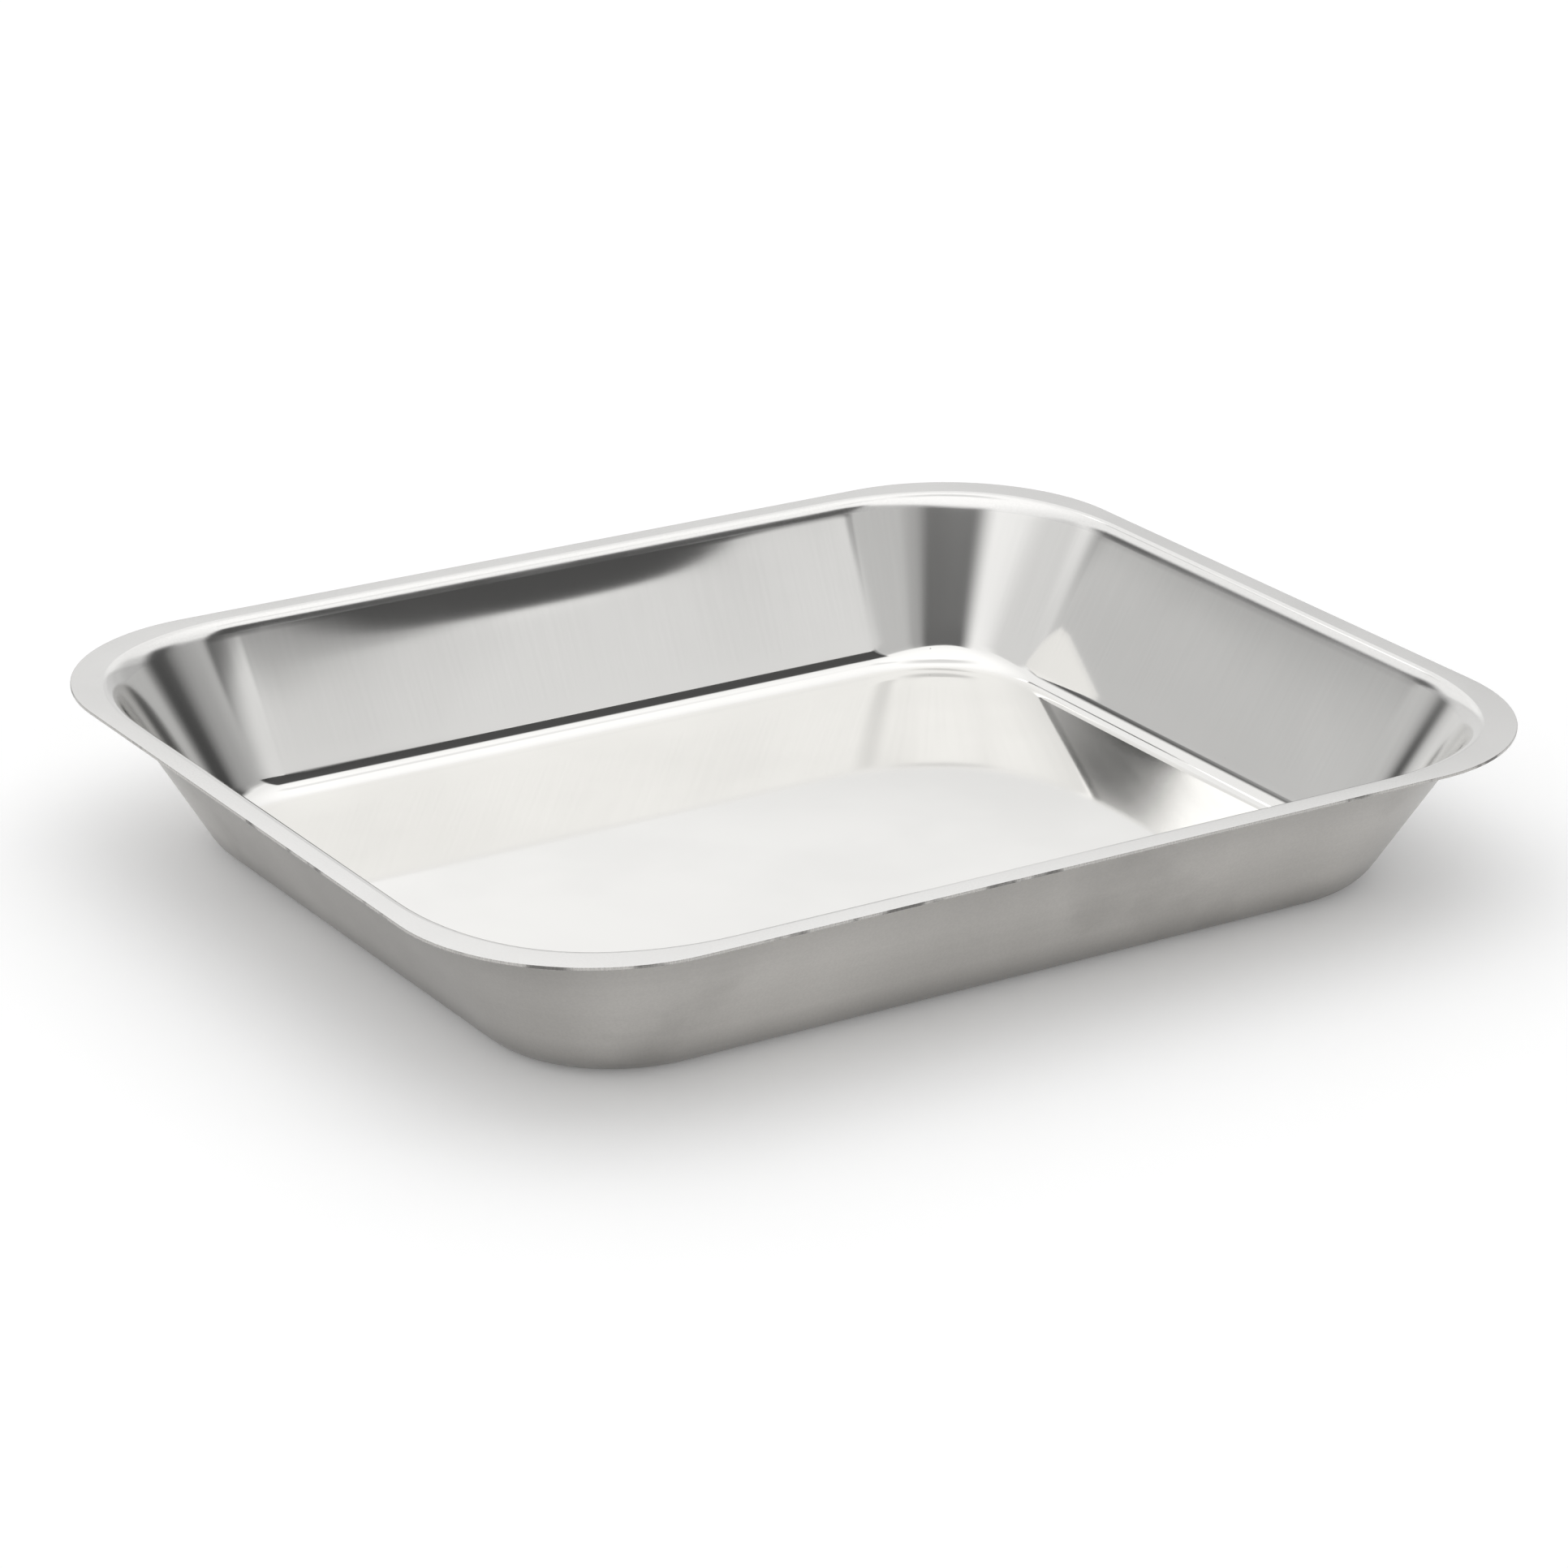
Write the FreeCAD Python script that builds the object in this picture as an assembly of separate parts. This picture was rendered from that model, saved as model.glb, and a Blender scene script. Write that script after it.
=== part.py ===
import FreeCAD, Part

import math
import os

# A shallow rectangular tray, drawn in one piece from thin stainless steel sheet.
# Sizes are in millimetres and angles in degrees. The long side runs along X, +Z is up,
# and the origin is the centre of the underside of the floor.

LENGTH = 300.0  # over the rim, along X
WIDTH = 250.0  # over the rim, along Y
HEIGHT = 41.0  # from the underside of the floor to the top of the rim
SHEET = 0.7  # thickness of the sheet

RIM_FLAT = 4.6  # width of the flat part of the rim
LONG_WALL_FLARE = 30.0  # lean of the two long walls from upright
SHORT_WALL_FLARE = 31.0  # lean of the two short walls from upright
RIM_BEND = 4.2  # radius of the upper skin where the rim turns down into a wall
FOOT_BEND = 7.5  # radius of the upper skin where a wall turns into the floor

RIM_CORNER = 48.0  # corner radius of the trimmed edge, seen from above
MOUTH_CORNER = 49.0  # corner radius where the walls meet the level of the rim
FLOOR_CORNER = 29.0  # corner radius where the walls meet the level of the floor


def rounded_rectangle(half_x, half_y, radius, z):
    """Closed wire of four straight edges and four quarter circles at height z."""
    edges = []
    for turn in range(4):
        start = math.radians(90 * turn)
        corner_x = half_x - radius
        corner_y = half_y - radius
        sign_x = 1 if turn in (0, 3) else -1
        sign_y = 1 if turn in (0, 1) else -1
        centre = FreeCAD.Vector(sign_x * corner_x, sign_y * corner_y, z)
        points = []
        for step in (0, 1, 2):
            angle = start + math.radians(45 * step)
            points.append(centre + FreeCAD.Vector(math.cos(angle), math.sin(angle), 0) * radius)
        if edges:
            edges.append(Part.makeLine(edges[-1].valueAt(edges[-1].LastParameter), points[0]))
        edges.append(Part.Arc(*points).toShape())
    edges.append(Part.makeLine(edges[-1].valueAt(edges[-1].LastParameter), edges[0].valueAt(0)))
    return Part.Wire(edges)


def mouth_half(outside, flare):
    """Half the opening at the level of the rim, where the flared wall would meet it sharply."""
    turn = math.radians(90 - flare)
    return outside / 2 - RIM_FLAT - RIM_BEND * math.tan(turn / 2)


def wall_outline(z, skin):
    """Outline of the four walls at height z, moved outwards by skin of metal thickness."""
    half = []
    for outside, flare in ((LENGTH, SHORT_WALL_FLARE), (WIDTH, LONG_WALL_FLARE)):
        lean = math.radians(flare)
        half.append(mouth_half(outside, flare) - (HEIGHT - z) * math.tan(lean) + skin / math.cos(lean))
    rise = (z - SHEET) / (HEIGHT - SHEET)
    radius = FLOOR_CORNER + (MOUTH_CORNER - FLOOR_CORNER) * rise
    return rounded_rectangle(half[0], half[1], radius + skin, z)


def flared_block(bottom, top, skin, foot_radius):
    """Solid between two heights that follows the walls, with its bottom edge rounded."""
    block = Part.makeLoft([wall_outline(bottom, skin), wall_outline(top, skin)], True, True)
    return block.makeFillet(foot_radius, level_edges(block, bottom))


def level_edges(shape, z):
    """Edges that lie flat at height z and inside the flat part of the rim."""
    found = []
    for edge in shape.Edges:
        box = edge.BoundBox
        level = abs(box.ZMin - z) < 0.01 and abs(box.ZMax - z) < 0.01
        inside = box.XMax < LENGTH / 2 - RIM_FLAT and box.YMax < WIDTH / 2 - RIM_FLAT
        inside = inside and box.XMin > RIM_FLAT - LENGTH / 2 and box.YMin > RIM_FLAT - WIDTH / 2
        if level and inside:
            found.append(edge)
    return found


def rim_plate():
    """The trimmed blank at the level of the rim, still without its opening."""
    outline = rounded_rectangle(LENGTH / 2, WIDTH / 2, RIM_CORNER, HEIGHT - SHEET)
    return Part.Face(outline).extrude(FreeCAD.Vector(0, 0, SHEET))


def tray():
    """Floor, walls and rim as one drawn sheet."""
    outer = flared_block(0, HEIGHT - SHEET / 2, SHEET, FOOT_BEND + SHEET)
    hollow = flared_block(SHEET, HEIGHT + SHEET, 0, FOOT_BEND)
    body = rim_plate().fuse(outer).cut(hollow)
    body = body.makeFillet(RIM_BEND - SHEET, level_edges(body, HEIGHT - SHEET))
    return body.makeFillet(RIM_BEND, level_edges(body, HEIGHT))


os.makedirs("parts", exist_ok=True)
tray().exportStep("parts/tray.step")
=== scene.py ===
import math
from collections import namedtuple

import bpy
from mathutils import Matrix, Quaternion, Vector, noise


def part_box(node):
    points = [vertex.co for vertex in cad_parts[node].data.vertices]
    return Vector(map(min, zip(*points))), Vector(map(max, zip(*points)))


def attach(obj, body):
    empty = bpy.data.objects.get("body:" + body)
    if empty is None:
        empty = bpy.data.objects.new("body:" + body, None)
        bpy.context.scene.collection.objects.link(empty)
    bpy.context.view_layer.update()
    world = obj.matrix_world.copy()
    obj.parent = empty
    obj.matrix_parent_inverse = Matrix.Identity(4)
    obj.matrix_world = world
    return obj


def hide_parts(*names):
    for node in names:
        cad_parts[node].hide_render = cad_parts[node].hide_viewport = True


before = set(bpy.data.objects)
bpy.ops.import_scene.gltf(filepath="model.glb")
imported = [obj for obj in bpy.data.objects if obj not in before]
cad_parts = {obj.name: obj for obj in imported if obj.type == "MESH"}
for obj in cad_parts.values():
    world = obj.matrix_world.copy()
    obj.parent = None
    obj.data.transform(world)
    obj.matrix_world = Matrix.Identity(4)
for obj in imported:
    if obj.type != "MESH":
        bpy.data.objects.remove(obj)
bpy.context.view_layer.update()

# The tray as it looks: one sheet of stainless steel, drawn in a press, bright inside and satin outside.
# Lengths are in metres and angles in radians, but the studio and the camera are in degrees. The outer
# size comes from the frame, and the section repeats the sizes that the solid was drawn with.

SHEET = 0.0007
RIM_WIDTH = 0.007  # from the trimmed edge in to where the planes of the rim and a wall would meet
LONG_WALL_FLARE = math.radians(30)
SHORT_WALL_FLARE = math.radians(31)
RIM_CORNER = 0.048
MOUTH_CORNER = 0.049
FLOOR_CORNER = 0.029
WALL_CORNER_SOFTNESS = 0.25  # 0 would make the walls' corners quarter circles

# Each bend takes up this much of the rim, the wall or the floor. At the corners the bends are fuller.
RIM_BEND_ON_RIM = 0.002
RIM_BEND_ON_WALL = 0.0034
FOOT_BEND_ON_LONG_WALL = 0.0056
FOOT_BEND_ON_SHORT_WALL = 0.0040
FOOT_BEND_ON_FLOOR = 0.0042
CORNER_FULLNESS = 1.25
EDGE_ROUND = 0.00012  # deburred arris of the trimmed edge
WALL_SWAY = 0.00006  # how far a wall strays from flat
FLOOR_SWAY = 0.00006
SWAY_WAVES = 14.0  # per metre

# Just under the rim bend the walls have a soft shoulder, softest at one place of the back wall. The
# slopes say how much flatter the wall starts than it goes on.
SHOULDER = 0.0115
SHOULDER_SLOPE = math.radians(0.12)
SOFT_SPOT = Vector((-0.010, 0.120, 0.037))
SOFT_SPOT_SLOPE = math.radians(2.75)
SOFT_SPOT_WIDTH = 0.055

CORNER_STEPS = 24
SIDE_STEPS = 28
RIM_BEND_STEPS = 10
FOOT_BEND_STEPS = 14
WALL_STEPS = 28
FLOOR_STEPS = 20
EDGE_STEPS = 3

QUARTER = math.pi / 2
UP = Vector((0, 0, 1))

OUTSIDE, CUT, RIM, INSIDE = range(4)

# One point of the sheet: where it is, which way the upper skin faces there, how far it may sway, how
# far it moves for a shoulder of slope 1, and its finish.
Spot = namedtuple("Spot", "point normal sway shoulder finish")


class Outline:
    """Rectangle with rounded corners, known by how far out it reaches towards each horizontal direction.

    Softness 0 makes the corners quarter circles. More of it makes them leave the sides more slowly and
    turn tighter in between, while the middle of the corner stays in place.
    """

    FOURFOLD = 4 ** 2 - 1  # a swing of four waves a turn changes the bend radius by this many times itself

    def __init__(self, half_x, half_y, radius, softness=0.0):
        root = math.sqrt(2)
        self.mean = radius / (1 - softness * (root + 1) / (root - 1) / self.FOURFOLD)
        self.swing = self.mean * softness / self.FOURFOLD
        self.straight_x = half_x - self.mean + self.swing
        self.straight_y = half_y - self.mean + self.swing

    def reach(self, turn):
        straight = self.straight_x * math.cos(turn) + self.straight_y * math.sin(turn)
        return straight + self.mean - self.swing * math.cos(4 * turn)


def on_line(reach, turn):
    """Point at height 0 of the curve whose tangent square to this turn is reach(turn) from the middle."""
    step = 1e-5
    slope = (reach(turn + step) - reach(turn - step)) / (2 * step)
    x = reach(turn) * math.cos(turn) - slope * math.sin(turn)
    y = reach(turn) * math.sin(turn) + slope * math.cos(turn)
    return Vector((x, y, 0))


def fuller(size, turn):
    """Size of a bend, which grows towards the middle of the corner."""
    return size * (1 + (CORNER_FULLNESS - 1) * math.sin(2 * turn) ** 2)


class Quadrant:
    """The sheet where x and y are positive.

    The turn is the way that the outside of a wall faces, from 0 along X to QUARTER along Y.
    """

    def __init__(self, low, high):
        self.top = high.z
        self.floor = low.z + SHEET
        self.drop = self.top - self.floor
        mouth_x = high.x - RIM_WIDTH
        mouth_y = high.y - RIM_WIDTH
        floor_x = mouth_x - self.drop * math.tan(SHORT_WALL_FLARE)
        floor_y = mouth_y - self.drop * math.tan(LONG_WALL_FLARE)
        self.trim_line = Outline(high.x, high.y, RIM_CORNER)
        self.mouth_line = Outline(mouth_x, mouth_y, MOUTH_CORNER, WALL_CORNER_SOFTNESS)
        self.floor_line = Outline(floor_x, floor_y, FLOOR_CORNER, WALL_CORNER_SOFTNESS)

    def flare(self, turn):
        return math.atan2(self.mouth_line.reach(turn) - self.floor_line.reach(turn), self.drop)

    def on_wall(self, turn, away, height):
        """Point of the wall's plane that lies away(turn) from the given height along the slope."""
        def reach(angle):
            share = (height - self.floor - away(angle) * math.cos(self.flare(angle))) / self.drop
            return self.floor_line.reach(angle) * (1 - share) + self.mouth_line.reach(angle) * share

        return on_line(reach, turn) + UP * (height - away(turn) * math.cos(self.flare(turn)))

    def trimmed_edge(self, turn):
        """From the underside of the rim round the cut to its top."""
        out = Vector((math.cos(turn), math.sin(turn), 0))
        rim = on_line(self.trim_line.reach, turn) - out * EDGE_ROUND
        spots = []
        for height, start in ((self.top - SHEET + EDGE_ROUND, -QUARTER), (self.top - EDGE_ROUND, 0)):
            for step in range(EDGE_STEPS + 1):
                angle = start + QUARTER * step / EDGE_STEPS
                way = out * math.cos(angle) + UP * math.sin(angle)
                spots.append(Spot(rim + UP * height + way * EDGE_ROUND, way, 0, 0, CUT))
        return spots

    def bend(self, turn, start, turning, end, steps, finish):
        """Leaves the line from start to turning slowly, and joins the line from turning to end."""
        along = Vector((-math.sin(turn), math.cos(turn), 0))
        spots = []
        for step in range(steps + 1):
            share = step / steps
            one = start.lerp(turning, share)
            other = turning.lerp(end, share)
            normal = along.cross(other - one).normalized()
            shoulder = -2 * (end - turning).length * (1 - share) * share ** 2 if finish == RIM else 0
            spots.append(Spot(one.lerp(other, share), normal, 0, shoulder, finish))
        return spots

    def rim_bend(self, turn):
        start = on_line(lambda angle: self.mouth_line.reach(angle) + fuller(RIM_BEND_ON_RIM, angle), turn)
        turning = on_line(self.mouth_line.reach, turn)
        end = self.on_wall(turn, lambda angle: fuller(RIM_BEND_ON_WALL, angle), self.top)
        up = UP * self.top
        return self.bend(turn, start + up, turning + up, end, RIM_BEND_STEPS, RIM)

    def foot_bend_on_wall(self, turn):
        long_wall_share = math.sin(turn) ** 2
        size = FOOT_BEND_ON_SHORT_WALL * (1 - long_wall_share) + FOOT_BEND_ON_LONG_WALL * long_wall_share
        return fuller(size, turn)

    def foot_bend(self, turn):
        start = self.on_wall(turn, lambda angle: -self.foot_bend_on_wall(angle), self.floor)
        turning = on_line(self.floor_line.reach, turn)
        end = on_line(lambda angle: self.floor_line.reach(angle) - fuller(FOOT_BEND_ON_FLOOR, angle), turn)
        up = UP * self.floor
        return self.bend(turn, start, turning + up, end + up, FOOT_BEND_STEPS, INSIDE)

    def wall(self, top, bottom):
        length = (top.point - bottom.point).length
        spots = []
        for step in range(1, WALL_STEPS):
            share = step / WALL_STEPS
            sway = WALL_SWAY * math.sin(math.pi * share)
            down = min(length * share, SHOULDER)
            shoulder = (down - down ** 2 / (2 * SHOULDER)) * (1 - share ** 2)
            spots.append(Spot(top.point.lerp(bottom.point, share), top.normal, sway, shoulder, INSIDE))
        return spots

    def column(self, turn):
        """Round the section, from the middle of the underside over the cut to the middle of the floor."""
        rim = self.rim_bend(turn)
        foot = self.foot_bend(turn)
        wall = self.wall(rim[-1], foot[0])
        floor = []
        middle = UP * self.floor
        for step in range(1, FLOOR_STEPS):
            share = step / FLOOR_STEPS
            sway = FLOOR_SWAY * min(1, 4 * share)
            floor.append(Spot(foot[-1].point.lerp(middle, share), UP, sway, 0, INSIDE))
        upper = rim + wall + foot + floor
        return [underneath(spot) for spot in reversed(upper)] + self.trimmed_edge(turn) + upper


def underneath(spot):
    return spot._replace(point=spot.point - spot.normal * SHEET, finish=OUTSIDE)


def mirrored(column, flip_x, flip_y):
    sign = Vector((-1 if flip_x else 1, -1 if flip_y else 1, 1))
    return [spot._replace(point=spot.point * sign, normal=spot.normal * sign) for spot in column]


def between(start, end):
    """Columns strictly between the two ends of a straight side."""
    columns = []
    for step in range(1, SIDE_STEPS):
        share = step / SIDE_STEPS
        columns.append([
            one._replace(point=one.point.lerp(other.point, share))
            for one, other in zip(start, end)
        ])
    return columns


def all_columns(quadrant):
    """Columns all the way round the tray, anticlockwise as seen from on top."""
    corner = [quadrant.column(QUARTER * step / CORNER_STEPS) for step in range(CORNER_STEPS + 1)]
    columns = []
    for flip_x, flip_y in ((False, False), (True, False), (True, True), (False, True)):
        turned = [mirrored(column, flip_x, flip_y) for column in corner]
        if flip_x != flip_y:
            turned.reverse()
        if columns:
            columns += between(columns[-1], turned[0])
        columns += turned
    return columns + between(columns[-1], columns[0])


def swayed(spot):
    """The spot's place on a sheet that isn't quite true to the solid."""
    away = (spot.point - SOFT_SPOT).length / SOFT_SPOT_WIDTH
    slope = SHOULDER_SLOPE + SOFT_SPOT_SLOPE * math.exp(-away ** 4)
    wave = 0.5 + 0.5 * noise.noise(spot.point * SWAY_WAVES)
    return spot.point + spot.normal * (spot.sway * wave + spot.shoulder * slope)


def tray_mesh(columns):
    count = len(columns)
    rings = len(columns[0])
    verts = []
    for ring in range(rings):
        verts += [swayed(column[ring]) for column in columns]
    faces = []
    finishes = []
    for ring in range(rings - 1):
        for here in range(count):
            there = (here + 1) % count
            near = ring * count
            far = near + count
            faces.append((near + here, near + there, far + there, far + here))
            finishes.append(columns[0][ring + 1].finish)
    last = (rings - 1) * count
    faces.append(tuple(reversed(range(count))))
    finishes.append(OUTSIDE)
    faces.append(tuple(range(last, last + count)))
    finishes.append(INSIDE)
    mesh = bpy.data.meshes.new("tray_sheet")
    mesh.from_pydata(verts, [], faces)
    mesh.polygons.foreach_set("material_index", finishes)
    mesh.polygons.foreach_set("use_smooth", [True] * len(faces))
    sheet_map(mesh, columns)
    mesh.update()
    return mesh


def sheet_map(mesh, columns):
    """UV map in metres: u runs round the tray at the level of the wall and v runs up the section."""
    count = len(columns)
    on_wall = len(columns[0]) // 4
    around = [column[on_wall].point for column in columns]
    round_tray = [0.0]
    for one, other in zip(around, around[1:] + around[:1]):
        round_tray.append(round_tray[-1] + (other - one).length)
    up_section = [0.0]
    for one, other in zip(columns[0], columns[0][1:]):
        up_section.append(up_section[-1] + (other.point - one.point).length)
    layer = mesh.uv_layers.new(name="sheet")
    for polygon in mesh.polygons:
        columns_here = [mesh.loops[loop].vertex_index % count for loop in polygon.loop_indices]
        wraps = 0 in columns_here and count - 1 in columns_here and len(columns_here) == 4
        for loop, column in zip(polygon.loop_indices, columns_here):
            ring = mesh.loops[loop].vertex_index // count
            u = round_tray[count] if wraps and column == 0 else round_tray[column]
            layer.data[loop].uv = (u, up_section[ring])


def node(tree, kind, **settings):
    made = tree.nodes.new(kind)
    for name, value in settings.items():
        setattr(made, name, value)
    return made


def feed(tree, socket, value):
    """Links value into socket, or sets it there if it is a plain number, colour or vector."""
    if isinstance(value, bpy.types.NodeSocket):
        tree.links.new(value, socket)
    else:
        socket.default_value = value


def math_node(tree, operation, *values):
    made = node(tree, "ShaderNodeMath", operation=operation)
    for socket, value in zip(made.inputs, values):
        feed(tree, socket, value)
    return made.outputs[0]


def soft_step(tree, value, start, end, low, high):
    made = node(tree, "ShaderNodeMapRange", interpolation_type="SMOOTHSTEP")
    for socket, given in zip(made.inputs, (value, start, end, low, high)):
        feed(tree, socket, given)
    return made.outputs[0]


# A studio around the tray. Headings go from 0 along +Y to 90 along +X, and heights are above the
# horizon. The ramp gives the light at some heights.
SKY_RAMP = (
    (0, 0.82), (15, 0.82), (20, 0.77), (22, 1.04), (26, 1.05),
    (42, 1.05), (50, 1.15), (60, 1.26), (82, 1.3),
)
SKY_MOST = 1.3

# A soft-edged panel. The bottom and top are where it is half there, and climb tilts both by that much
# per degree of heading. The blurs are half the width of each soft edge. Shade is what the panel leaves
# of the light, and a panel with more than 1 is a lamp.
Panel = namedtuple("Panel", "heading half_width side_blur bottom top bottom_blur top_blur climb shade")
PANELS = (
    # seen in the back wall: the dark wedge under the rim, and the grey beside it
    Panel(139.5, 9, 1.5, bottom=32.15, top=50, bottom_blur=0.3, top_blur=2, climb=0.3, shade=0.08),
    Panel(148.7, 1.6, 0.6, bottom=33.4, top=50, bottom_blur=0.5, top_blur=2, climb=0, shade=0.55),
    Panel(135, 45, 6, bottom=-10, top=33, bottom_blur=3, top_blur=1, climb=0, shade=0.8),
    Panel(122, 13, 8, bottom=20, top=36, bottom_blur=4, top_blur=2, climb=0, shade=0.7),
    # seen in the left corner
    Panel(101, 10, 7, bottom=12, top=36, bottom_blur=4, top_blur=4, climb=0, shade=0.16),
    Panel(92, 36, 14, bottom=-10, top=31, bottom_blur=3, top_blur=5, climb=0, shade=0.66),
    # seen in the corner at the back
    Panel(167, 19, 5, bottom=33, top=49.5, bottom_blur=2, top_blur=2, climb=0, shade=0.58),
    Panel(215, 30, 12, bottom=34, top=49.5, bottom_blur=3, top_blur=1.2, climb=0, shade=0.15),
    Panel(-75, 27, 6, bottom=-10, top=37, bottom_blur=3, top_blur=3, climb=0, shade=0.74),
    # seen in the right wall, and mirrored from there in the floor
    Panel(-30, 9, 7, bottom=21.4, top=31, bottom_blur=1.3, top_blur=3, climb=0, shade=0.12),
    Panel(-34, 18, 6, bottom=6, top=25, bottom_blur=4, top_blur=2, climb=0, shade=0.82),
    Panel(2.6, 2.7, 0.4, bottom=40.4, top=42.2, bottom_blur=0.5, top_blur=0.1, climb=0, shade=0.35),
    Panel(4.2, 1.1, 0.4, bottom=41.2, top=42.2, bottom_blur=0.4, top_blur=0.1, climb=0, shade=0.1),
    Panel(8.5, 6, 1, bottom=42.2, top=45, bottom_blur=0.1, top_blur=2, climb=0, shade=1.6),
    # seen in the right corner
    Panel(-18, 4, 4, bottom=6, top=15, bottom_blur=3, top_blur=5, climb=0, shade=0.05),
    Panel(-18, 9, 6, bottom=-10, top=19, bottom_blur=3, top_blur=4, climb=0, shade=0.75),
    # seen in the rim, darker at its right end and brighter at its left end
    Panel(47, 9, 4, bottom=-10, top=21.5, bottom_blur=3, top_blur=1, climb=0, shade=0.85),
    Panel(24, 6, 4, bottom=21.3, top=27, bottom_blur=1, top_blur=2, climb=0, shade=1.06),
    # seen in the floor in front of the back wall
    Panel(115, 6, 4, bottom=57, top=69, bottom_blur=3, top_blur=3, climb=0, shade=0.8),
    # high up on the far side, so that the floor isn't all white from on top
    Panel(40, 80, 30, bottom=74, top=100, bottom_blur=6, top_blur=1, climb=0, shade=0.68),
)


def studio():
    world = bpy.data.worlds.new("studio")
    bpy.context.scene.world = world
    world.use_nodes = True
    tree = world.node_tree
    tree.nodes.clear()
    way = node(tree, "ShaderNodeTexCoord").outputs["Generated"]
    rise = parts(tree, way)[2]
    ramp = node(tree, "ShaderNodeValToRGB")
    tree.links.new(rise, ramp.inputs[0])
    stops = ramp.color_ramp.elements
    while len(stops) < len(SKY_RAMP):
        stops.new(0.5)
    for stop, (height, level) in zip(stops, SKY_RAMP):
        stop.position = math.sin(math.radians(height))
        stop.color = (level / SKY_MOST, level / SKY_MOST, level / SKY_MOST, 1)
    height = math_node(tree, "MULTIPLY", math_node(tree, "ARCSINE", rise), math.degrees(1))
    shade = 1.0
    for panel in PANELS:
        shade = math_node(tree, "MULTIPLY", shade, panel_shade(tree, way, height, panel))
    background = node(tree, "ShaderNodeBackground")
    tree.links.new(math_node(tree, "MULTIPLY", ramp.outputs[0], shade), background.inputs["Color"])
    background.inputs["Strength"].default_value = SKY_MOST
    out = node(tree, "ShaderNodeOutputWorld")
    tree.links.new(background.outputs[0], out.inputs[0])


def panel_shade(tree, way, height, panel):
    """1 beside the panel and its shade on it."""
    turn = node(tree, "ShaderNodeVectorRotate", rotation_type="Z_AXIS")
    tree.links.new(way, turn.inputs["Vector"])
    turn.inputs["Angle"].default_value = math.radians(panel.heading)
    aside, ahead = parts(tree, turn.outputs[0])[:2]
    across = math_node(tree, "MULTIPLY", math_node(tree, "ARCTAN2", aside, ahead), math.degrees(1))
    level = math_node(tree, "MULTIPLY_ADD", across, -panel.climb, height)
    edges = (
        (math_node(tree, "ABSOLUTE", across), panel.half_width, panel.side_blur, 0),
        (level, panel.top, panel.top_blur, 0),
        (level, panel.bottom, panel.bottom_blur, 1),
    )
    cover = 1.0
    for value, place, blur, beyond in edges:
        edge = soft_step(tree, value, place - blur, place + blur, 1 - beyond, beyond)
        cover = math_node(tree, "MULTIPLY", cover, edge)
    return math_node(tree, "MULTIPLY_ADD", cover, panel.shade - 1, 1.0)


def noise_node(tree, where, waves, detail=3.0):
    made = node(tree, "ShaderNodeTexNoise")
    tree.links.new(where, made.inputs["Vector"])
    made.inputs["Scale"].default_value = waves
    made.inputs["Detail"].default_value = detail
    return made.outputs["Fac"]


def parts(tree, vector):
    """The x, y and z of a vector socket."""
    made = node(tree, "ShaderNodeSeparateXYZ")
    tree.links.new(vector, made.inputs[0])
    return made.outputs


def stretched(tree, where, stretch):
    made = node(tree, "ShaderNodeVectorMath", operation="MULTIPLY")
    tree.links.new(where, made.inputs[0])
    made.inputs[1].default_value = stretch
    return made.outputs[0]


def specks(tree, where, per_metre, size):
    """1 on a few small round specks and 0 beside them. Size is a share of the distance between them."""
    made = node(tree, "ShaderNodeTexVoronoi")
    tree.links.new(where, made.inputs["Vector"])
    made.inputs["Scale"].default_value = per_metre
    made.inputs["Randomness"].default_value = 1.0
    spot = soft_step(tree, made.outputs["Distance"], size * 0.5, size, 1.0, 0.0)
    chance = parts(tree, made.outputs["Color"])[0]
    return math_node(tree, "MULTIPLY", spot, math_node(tree, "GREATER_THAN", chance, 0.6))


def shaded(tree, shader, colour, shade):
    """Gives the shader this colour times the shade, which is a number socket about 1."""
    made = node(tree, "ShaderNodeVectorMath", operation="SCALE")
    made.inputs[0].default_value = colour
    feed(tree, made.inputs["Scale"], shade)
    tree.links.new(made.outputs[0], shader.inputs["Base Color"])


def roughened(tree, shader, height, depth):
    """Bumps the shader's normal by a height socket that runs from 0 to 1 over a depth in metres."""
    made = node(tree, "ShaderNodeBump")
    made.inputs["Strength"].default_value = 1.0
    made.inputs["Distance"].default_value = depth
    tree.links.new(height, made.inputs["Height"])
    tree.links.new(made.outputs[0], shader.inputs["Normal"])


def steel(name):
    """A new metal, its node tree and its shader, and the places on the tray and on the unrolled sheet."""
    material = bpy.data.materials.new(name)
    material.use_nodes = True
    tree = material.node_tree
    shader = tree.nodes["Principled BSDF"]
    shader.inputs["Metallic"].default_value = 1.0
    place = node(tree, "ShaderNodeTexCoord").outputs["Object"]
    sheet = node(tree, "ShaderNodeUVMap", uv_map="sheet").outputs["UV"]
    return material, tree, shader, place, sheet


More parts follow.
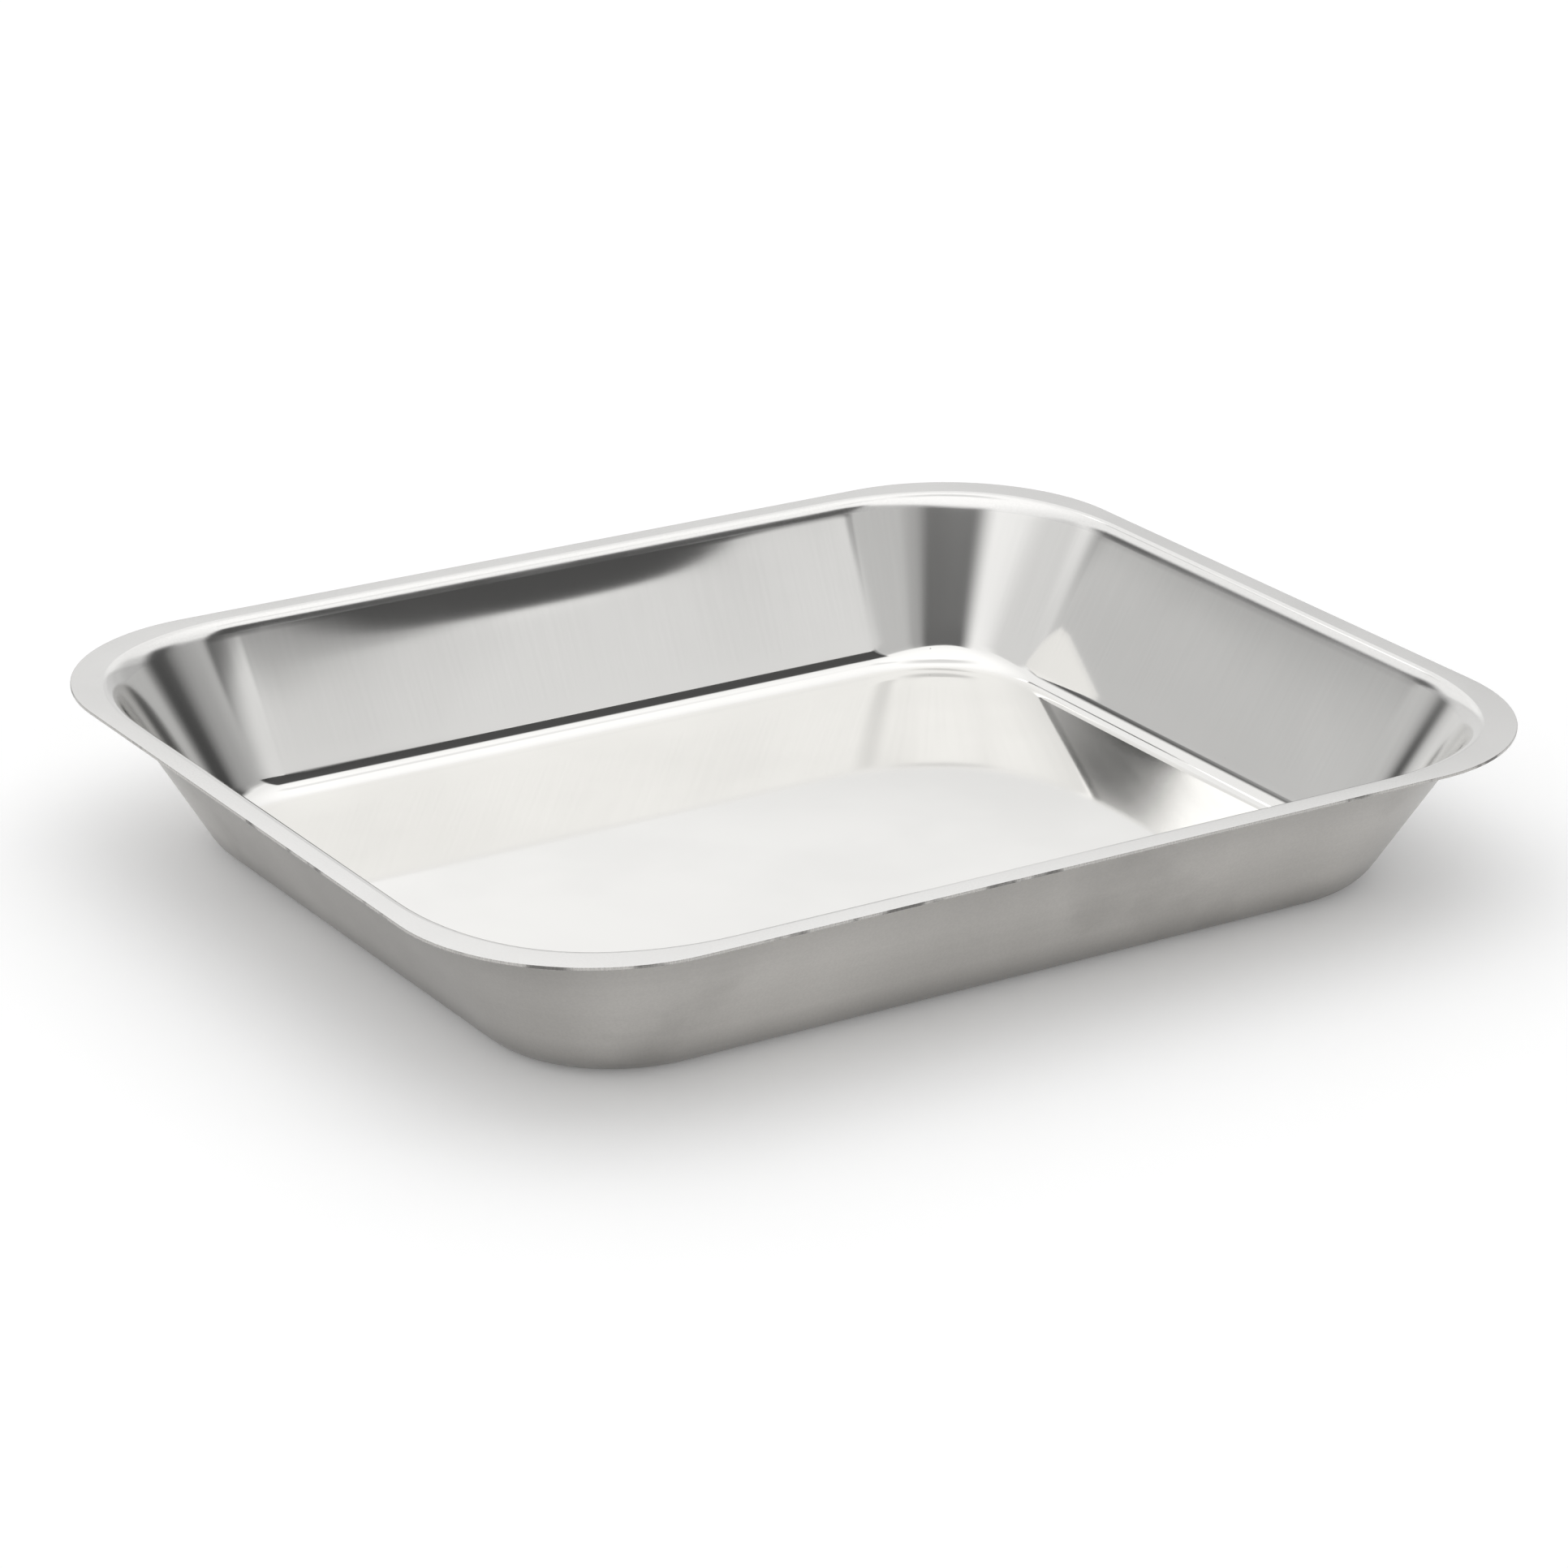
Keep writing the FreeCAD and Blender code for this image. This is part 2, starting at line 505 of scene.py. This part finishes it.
def bright_steel():
    """Inside: polished, and duller on the walls and at the corners, where the press stretched it."""
    material, tree, shader, place, sheet = steel("bright_steel")
    haze = noise_node(tree, place, 22)
    dust = specks(tree, place, 55, 0.018)
    x, y, height = parts(tree, place)
    along_x = math_node(tree, "ABSOLUTE", x)
    along_y = math_node(tree, "ABSOLUTE", y)
    on_wall = soft_step(tree, height, 0.002, 0.012, 0.0, 1.0)
    drawn = noise_node(tree, stretched(tree, sheet, (900, 25, 1)), 1, 2)
    streaks = math_node(tree, "MULTIPLY", drawn, on_wall)
    shade = soft_step(tree, haze, 0.35, 0.7, 1.0, 0.965)
    shade = math_node(tree, "MULTIPLY", shade, soft_step(tree, streaks, 0.3, 0.7, 1.0, 0.985))
    shaded(tree, shader, (0.815, 0.808, 0.79), math_node(tree, "MULTIPLY_ADD", dust, -0.22, shade))
    at_end = soft_step(tree, along_x, 0.085, 0.12, 0.0, 1.0)
    at_corner = math_node(tree, "MULTIPLY", at_end, soft_step(tree, along_y, 0.06, 0.095, 0.0, 1.0))
    stretch = math_node(tree, "MULTIPLY", at_corner, on_wall)
    dull = math_node(tree, "MULTIPLY_ADD", on_wall, 0.02, 0.045)
    dull = math_node(tree, "MULTIPLY_ADD", stretch, 0.06, dull)
    dull = math_node(tree, "ADD", dull, soft_step(tree, haze, 0.4, 0.75, 0.0, 0.02))
    feed(tree, shader.inputs["Roughness"], math_node(tree, "MULTIPLY_ADD", dust, 0.2, dull))
    roughened(tree, shader, streaks, 0.0000006)
    return material


def rim_steel():
    """Rim and its bend: as bright, with the fine grain of the rolled sheet."""
    material, tree, shader, place, sheet = steel("rim_steel")
    grain = noise_node(tree, place, 1900, 2)
    haze = noise_node(tree, place, 30)
    shade = soft_step(tree, grain, 0.3, 0.7, 0.965, 1.0)
    shaded(tree, shader, (0.785, 0.778, 0.764), shade)
    feed(tree, shader.inputs["Roughness"], soft_step(tree, haze, 0.3, 0.7, 0.11, 0.16))
    roughened(tree, shader, grain, 0.000003)
    return material


def cut_steel():
    """Trimmed edge: sheared, with fine score marks across it and darker burrs here and there."""
    material, tree, shader, place, sheet = steel("cut_steel")
    score = noise_node(tree, stretched(tree, sheet, (2600, 200, 1)), 1, 2)
    burrs = noise_node(tree, place, 70, 5)
    shade = soft_step(tree, score, 0.35, 0.65, 0.8, 1.0)
    shade = math_node(tree, "MULTIPLY", shade, soft_step(tree, burrs, 0.52, 0.62, 1.0, 0.35))
    shaded(tree, shader, (0.52, 0.51, 0.49), shade)
    feed(tree, shader.inputs["Roughness"], soft_step(tree, score, 0.3, 0.7, 0.2, 0.35))
    roughened(tree, shader, score, 0.00002)
    return material


def satin_steel():
    """Outside: satin, with a fine grain, faint streaks round the walls and the smudges of handling, and
    painted shade towards both ends, along the foot and close under the rim.
    """
    material, tree, shader, place, sheet = steel("satin_steel")
    streaks = noise_node(tree, stretched(tree, sheet, (9, 420, 1)), 1, 2)
    grain = noise_node(tree, place, 1500, 2)
    smudge = noise_node(tree, place, 26, 4)
    x, _, height = parts(tree, place)
    shade = soft_step(tree, streaks, 0.25, 0.75, 0.975, 1.0)
    shade = math_node(tree, "MULTIPLY", shade, soft_step(tree, smudge, 0.56, 0.72, 1.0, 0.9))
    shade = math_node(tree, "MULTIPLY", shade, soft_step(tree, grain, 0.3, 0.7, 0.95, 1.0))
    mottle = noise_node(tree, stretched(tree, sheet, (24, 5, 1)), 1, 2)
    shade = math_node(tree, "MULTIPLY", shade, soft_step(tree, mottle, 0.3, 0.7, 0.93, 1.05))
    # painted shade: darker towards both ends, along the foot and close under the rim
    shade = math_node(tree, "MULTIPLY", shade, soft_step(tree, x, -0.15, -0.10, 0.65, 1.0))
    shade = math_node(tree, "MULTIPLY", shade, soft_step(tree, height, 0.0, 0.012, 0.63, 1.0))
    shade = math_node(tree, "MULTIPLY", shade, soft_step(tree, x, 0.08, 0.14, 1.0, 0.65))
    shade = math_node(tree, "MULTIPLY", shade, soft_step(tree, height, 0.022, 0.041, 1.0, 0.75))
    shaded(tree, shader, (0.69, 0.674, 0.649), shade)
    smudged = soft_step(tree, smudge, 0.5, 0.72, 0.27, 0.33)
    feed(tree, shader.inputs["Roughness"], math_node(tree, "MULTIPLY_ADD", streaks, 0.05, smudged))
    roughened(tree, shader, grain, 0.0000015)
    return material


GROUND_SIZE = 30
GROUND_GAP = 0.0002  # keeps the ground clear of the tray's underside


def pale_floor(low):
    bpy.ops.mesh.primitive_plane_add(size=GROUND_SIZE, location=(0, 0, low.z - GROUND_GAP))
    ground = bpy.context.object
    ground.name = "ground"
    material = bpy.data.materials.new("ground_paint")
    material.use_nodes = True
    shader = material.node_tree.nodes["Principled BSDF"]
    shader.inputs["Base Color"].default_value = (0.97, 0.97, 0.97, 1)
    shader.inputs["Emission Color"].default_value = (1, 1, 1, 1)
    shader.inputs["Emission Strength"].default_value = 0.1
    shader.inputs["Roughness"].default_value = 0.9
    shader.inputs["Specular IOR Level"].default_value = 0.0
    ground.data.materials.append(material)


# The camera looks at a point inside the tray, from this heading and height above the horizon in degrees.
AIM = Vector((-0.0048, -0.0056, 0.0206))
CAMERA_HEADING = -32.96
CAMERA_HEIGHT = 21.40
CAMERA_ROLL = 0.666
CAMERA_DISTANCE = 1.2625
LENS = 119.25


def camera():
    data = bpy.data.cameras.new("camera")
    data.lens = LENS
    data.sensor_width = 36
    data.clip_end = 100
    made = bpy.data.objects.new("camera", data)
    bpy.context.scene.collection.objects.link(made)
    bpy.context.scene.camera = made
    heading = math.radians(CAMERA_HEADING)
    height = math.radians(CAMERA_HEIGHT)
    level = math.cos(height)
    back = Vector((math.sin(heading) * level, -math.cos(heading) * level, math.sin(height)))
    made.location = AIM + back * CAMERA_DISTANCE
    look = (-back).to_track_quat("-Z", "Y")
    made.rotation_mode = "QUATERNION"
    made.rotation_quaternion = look @ Quaternion((0, 0, 1), math.radians(CAMERA_ROLL))


def tray(low, high):
    mesh = tray_mesh(all_columns(Quadrant(low, high)))
    # in the order of the finishes
    for material in (satin_steel(), cut_steel(), rim_steel(), bright_steel()):
        mesh.materials.append(material)
    made = bpy.data.objects.new("tray_sheet", mesh)
    bpy.context.scene.collection.objects.link(made)
    made.modifiers.new("even_normals", "WEIGHTED_NORMAL").keep_sharp = True
    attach(made, "root")
    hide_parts("tray")


bpy.context.scene.view_settings.view_transform = "Standard"
low, high = (Vector(corner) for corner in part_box("tray"))
tray(low, high)
pale_floor(low)
studio()
camera()
